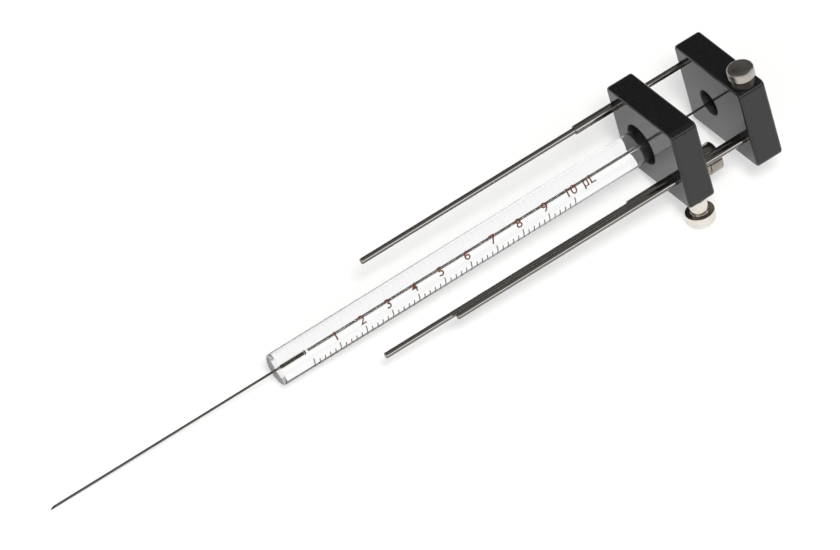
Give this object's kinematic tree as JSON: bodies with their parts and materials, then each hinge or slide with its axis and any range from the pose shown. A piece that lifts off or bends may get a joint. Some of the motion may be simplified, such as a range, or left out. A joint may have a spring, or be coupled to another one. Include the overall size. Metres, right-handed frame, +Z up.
{
  "type": "microsyringe",
  "caption": "Microlitre glass syringe with a cemented needle, wire plunger and a repeat-volume adapter of two sliding blocks, guide rods and a stop rod.",
  "frame": {"origin": "on the barrel axis at the scale's zero mark", "axes": "+X along the barrel axis from the needle to the plunger; +Z up with the syringe lying on a table on the lower edges of its blocks and the head of the stop screw; +Y to the side of the two-block edge that it rests on"},
  "size_m": [0.1587, 0.0284, 0.0275],
  "materials": {
    "glass": "clear, polished borosilicate",
    "epoxy": "cured clear cement",
    "block": "gloss black anodised",
    "steel": "drawn stainless steel",
    "bright": "polished nickel plate",
    "spring": "spring wire"
  },
  "bodies": {
    "barrel": {"glass_barrel": "glass", "barrel_flange": "steel", "needle": "steel", "needle_cement": "epoxy", "barrel_block": "block", "upper_sleeve": "steel", "lower_sleeve": "steel"},
    "flange_screw": {"flange_thumb_screw": "bright"},
    "stop_screw": {"stop_thumb_screw": "bright"},
    "stop_rod": {"stop_rod": "steel"},
    "plunger": {"plunger_wire": "steel", "plunger_button": "bright", "plunger_block": "block", "upper_guide_rod": "steel", "lower_guide_rod": "steel", "plunger_set_screw": "steel", "upper_rod_set_screw": "steel", "lower_rod_set_screw": "steel", "button_bushing": "bright", "button_spring": "spring"},
    "push_button": {"button_pin": "steel", "push_button": "bright"}
  },
  "joints": [
    {"name": "plunger_slide", "type": "slide", "parent": "barrel", "child": "plunger", "axis": [1, 0, 0], "range_m": [0, 0.06]},
    {"name": "stop_rod_slide", "type": "slide", "parent": "barrel", "child": "stop_rod", "axis": [1, 0, 0], "range_m": [-0.015, 0.045]},
    {"name": "stop_screw_turn", "type": "hinge", "parent": "barrel", "child": "stop_screw", "pos_m": [0.08035, -0.01367, -0.00666], "axis": [0, -0.3128, -0.9498], "range_deg": [0, 720]},
    {"name": "flange_screw_turn", "type": "hinge", "parent": "barrel", "child": "flange_screw", "pos_m": [0.0853, -0.00785, -0.00415], "axis": [1, 0, 0], "range_deg": [0, 720]},
    {"name": "button_press", "type": "slide", "parent": "plunger", "child": "push_button", "axis": [0, -0.3128, -0.9498], "range_m": [0, 0.0007], "stiffness_N_per_m": 600, "springref_m": -0.001, "deforming": ["button_spring"]}
  ]
}
